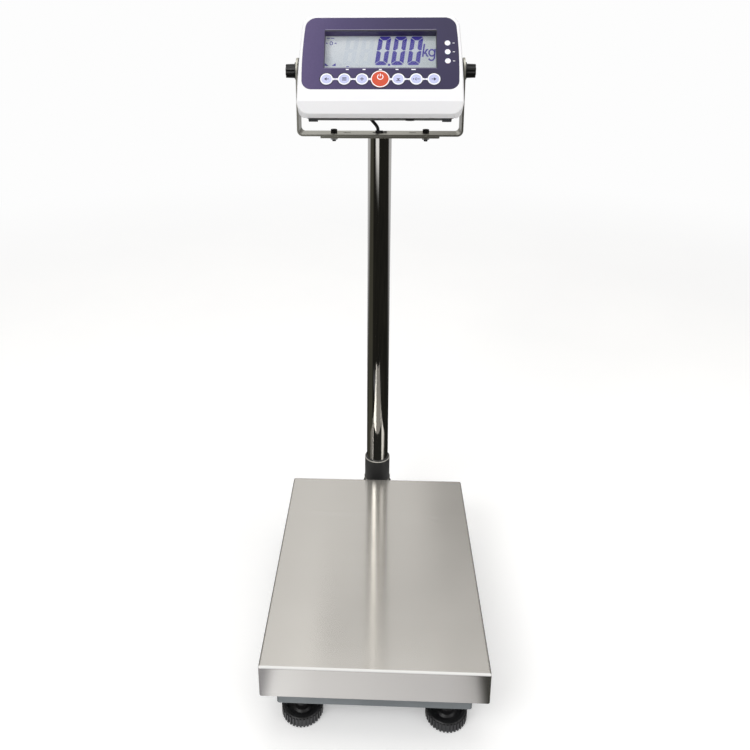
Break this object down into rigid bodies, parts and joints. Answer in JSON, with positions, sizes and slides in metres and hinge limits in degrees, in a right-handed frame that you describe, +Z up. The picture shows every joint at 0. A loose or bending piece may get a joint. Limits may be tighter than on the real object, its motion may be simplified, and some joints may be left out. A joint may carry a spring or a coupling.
{
  "type": "column bench weighing scale",
  "caption": "Bench scale for weighing animals: stainless platter on levelling feet, polished column and a tilting keypad display.",
  "frame": {"origin": "on the floor, at the middle of the whole outline seen from above (platter front edge to the back of the indicator)", "axes": "+Z up; -Y is the user's side, where the display faces; +X is the user's right"},
  "size_m": [0.3, 0.494, 0.9165],
  "materials": {
    "frame_paint": "satin blue-grey powder coat",
    "zinc_steel": "bright zinc plated",
    "black_steel": "black oxide",
    "level_glass": "clear green vial",
    "cell_aluminium": "machined",
    "socket_paint": "charcoal paint",
    "polished_steel": "mirror polished stainless",
    "bracket_steel": "satin stainless",
    "platter_steel": "fine brushed stainless",
    "buffer_rubber": "matte",
    "foot_black": "moulded nylon",
    "cable_rubber": "satin PVC",
    "housing_white": "satin white ABS",
    "housing_dark": "textured dark ABS",
    "panel_film": "slate purple satin film",
    "window_clear": "clear acrylic",
    "display_glass": "reflective liquid crystal panel",
    "lamp_white": "diffuse white lens",
    "switch_black": "moulded",
    "board_green": "solder mask",
    "gasket_rubber": "matte",
    "battery_case": "moulded",
    "insert_brass": "machined",
    "key_red": "satin red",
    "key_lavender": "satin pale blue",
    "knob_black": "moulded nylon"
  },
  "bodies": {
    "base": {"base_frame": "frame_paint", "overload_stops": "zinc_steel", "bubble_level": "level_glass", "foot_lock_nuts": "zinc_steel", "load_cell_spacer_lower": "zinc_steel", "load_cell": "cell_aluminium", "load_cell_bolts_lower": "black_steel", "pole_socket": "socket_paint", "socket_bolts": "zinc_steel", "clamp_screws": "zinc_steel", "pole": "polished_steel", "pole_end_plate": "bracket_steel", "bracket": "bracket_steel", "bracket_bolts": "black_steel", "bracket_nuts": "zinc_steel", "column_cable": "cable_rubber", "indicator_cable": "cable_rubber", "cable_tie": "switch_black"},
    "live_platform": {"live_frame": "frame_paint", "load_cell_spacer_upper": "zinc_steel", "load_cell_bolts_upper": "black_steel", "platter_buffers": "buffer_rubber"},
    "platter": {"platter": "platter_steel"},
    "indicator": {"front_housing": "housing_white", "front_panel": "panel_film", "display_window": "window_clear", "display_module": "display_glass", "lamp_lenses": "lamp_white", "key_switches": "switch_black", "key_board": "board_green", "main_board": "board_green", "rear_housing": "housing_dark", "housing_gasket": "gasket_rubber", "housing_screws": "zinc_steel", "battery": "battery_case", "battery_door": "housing_dark", "cable_bushing": "gasket_rubber", "charge_socket": "switch_black", "pivot_inserts": "insert_brass", "pivot_washers": "gasket_rubber"},
    "knob_left": {"tilt_knob_left": "knob_black", "knob_stud_left": "zinc_steel"},
    "knob_right": {"tilt_knob_right": "knob_black", "knob_stud_right": "zinc_steel"},
    "stud_front_left": {"foot_stud_front_left": "zinc_steel"},
    "pad_front_left": {"foot_pad_front_left": "foot_black"},
    "stud_front_right": {"foot_stud_front_right": "zinc_steel"},
    "pad_front_right": {"foot_pad_front_right": "foot_black"},
    "stud_rear_left": {"foot_stud_rear_left": "zinc_steel"},
    "pad_rear_left": {"foot_pad_rear_left": "foot_black"},
    "stud_rear_right": {"foot_stud_rear_right": "zinc_steel"},
    "pad_rear_right": {"foot_pad_rear_right": "foot_black"},
    "key_1": {"key_1": "key_lavender"},
    "key_2": {"key_2": "key_lavender"},
    "key_3": {"key_3": "key_lavender"},
    "key_4": {"key_4": "key_lavender"},
    "key_5": {"key_5": "key_lavender"},
    "key_6": {"key_6": "key_lavender"},
    "power_key": {"power_key": "key_red"}
  },
  "joints": [
    {"name": "indicator_tilt", "type": "hinge", "parent": "base", "child": "indicator", "pos_m": [0, 0.18804, 0.835], "axis": [1, 0, 0], "range_deg": [-40, 22], "deforming": ["indicator_cable"]},
    {"name": "knob_left_turn", "type": "hinge", "parent": "indicator", "child": "knob_left", "pos_m": [-0.13, 0.18804, 0.835], "axis": [-1, 0, 0], "range_deg": [0, 270]},
    {"name": "knob_right_turn", "type": "hinge", "parent": "indicator", "child": "knob_right", "pos_m": [0.13, 0.18804, 0.835], "axis": [1, 0, 0], "range_deg": [0, 270]},
    {"name": "platform_press", "type": "slide", "parent": "base", "child": "live_platform", "axis": [0, 0, -1], "range_m": [0, 0.0005], "stiffness_N_per_m": 200000, "deforming": ["load_cell"]},
    {"name": "platter_lift", "type": "slide", "parent": "live_platform", "child": "platter", "axis": [0, 0, 1], "range_m": [0, 0.12]},
    {"name": "foot_front_left_rise", "type": "slide", "parent": "base", "child": "stud_front_left", "axis": [0, 0, 1], "range_m": [-0.0075, 0.005]},
    {"name": "foot_front_left_turn", "type": "hinge", "parent": "stud_front_left", "child": "pad_front_left", "pos_m": [-0.0988, -0.20496, 0.015], "axis": [0, 0, 1], "range_deg": [-2165, 1445]},
    {"name": "foot_front_right_rise", "type": "slide", "parent": "base", "child": "stud_front_right", "axis": [0, 0, 1], "range_m": [-0.0075, 0.005]},
    {"name": "foot_front_right_turn", "type": "hinge", "parent": "stud_front_right", "child": "pad_front_right", "pos_m": [0.0988, -0.20496, 0.015], "axis": [0, 0, 1], "range_deg": [-2165, 1445]},
    {"name": "foot_rear_left_rise", "type": "slide", "parent": "base", "child": "stud_rear_left", "axis": [0, 0, 1], "range_m": [-0.0075, 0.005]},
    {"name": "foot_rear_left_turn", "type": "hinge", "parent": "stud_rear_left", "child": "pad_rear_left", "pos_m": [-0.0988, 0.11104, 0.015], "axis": [0, 0, 1], "range_deg": [-2165, 1445]},
    {"name": "foot_rear_right_rise", "type": "slide", "parent": "base", "child": "stud_rear_right", "axis": [0, 0, 1], "range_m": [-0.0075, 0.005]},
    {"name": "foot_rear_right_turn", "type": "hinge", "parent": "stud_rear_right", "child": "pad_rear_right", "pos_m": [0.0988, 0.11104, 0.015], "axis": [0, 0, 1], "range_deg": [-2165, 1445]},
    {"name": "key_1_press", "type": "slide", "parent": "indicator", "child": "key_1", "axis": [0, 0.8192, -0.5736], "range_m": [0, 0.0004], "stiffness_N_per_m": 800},
    {"name": "key_2_press", "type": "slide", "parent": "indicator", "child": "key_2", "axis": [0, 0.8192, -0.5736], "range_m": [0, 0.0004], "stiffness_N_per_m": 800},
    {"name": "key_3_press", "type": "slide", "parent": "indicator", "child": "key_3", "axis": [0, 0.8192, -0.5736], "range_m": [0, 0.0004], "stiffness_N_per_m": 800},
    {"name": "key_4_press", "type": "slide", "parent": "indicator", "child": "key_4", "axis": [0, 0.8192, -0.5736], "range_m": [0, 0.0004], "stiffness_N_per_m": 800},
    {"name": "key_5_press", "type": "slide", "parent": "indicator", "child": "key_5", "axis": [0, 0.8192, -0.5736], "range_m": [0, 0.0004], "stiffness_N_per_m": 800},
    {"name": "key_6_press", "type": "slide", "parent": "indicator", "child": "key_6", "axis": [0, 0.8192, -0.5736], "range_m": [0, 0.0004], "stiffness_N_per_m": 800},
    {"name": "power_key_press", "type": "slide", "parent": "indicator", "child": "power_key", "axis": [0, 0.8192, -0.5736], "range_m": [0, 0.0004], "stiffness_N_per_m": 800}
  ],
  "couplings": [
    {"joint": "foot_front_left_turn", "follows": "foot_front_left_rise", "rad_per_m": 5026.5},
    {"joint": "foot_front_right_turn", "follows": "foot_front_right_rise", "rad_per_m": 5026.5},
    {"joint": "foot_rear_left_turn", "follows": "foot_rear_left_rise", "rad_per_m": 5026.5},
    {"joint": "foot_rear_right_turn", "follows": "foot_rear_right_rise", "rad_per_m": 5026.5}
  ]
}
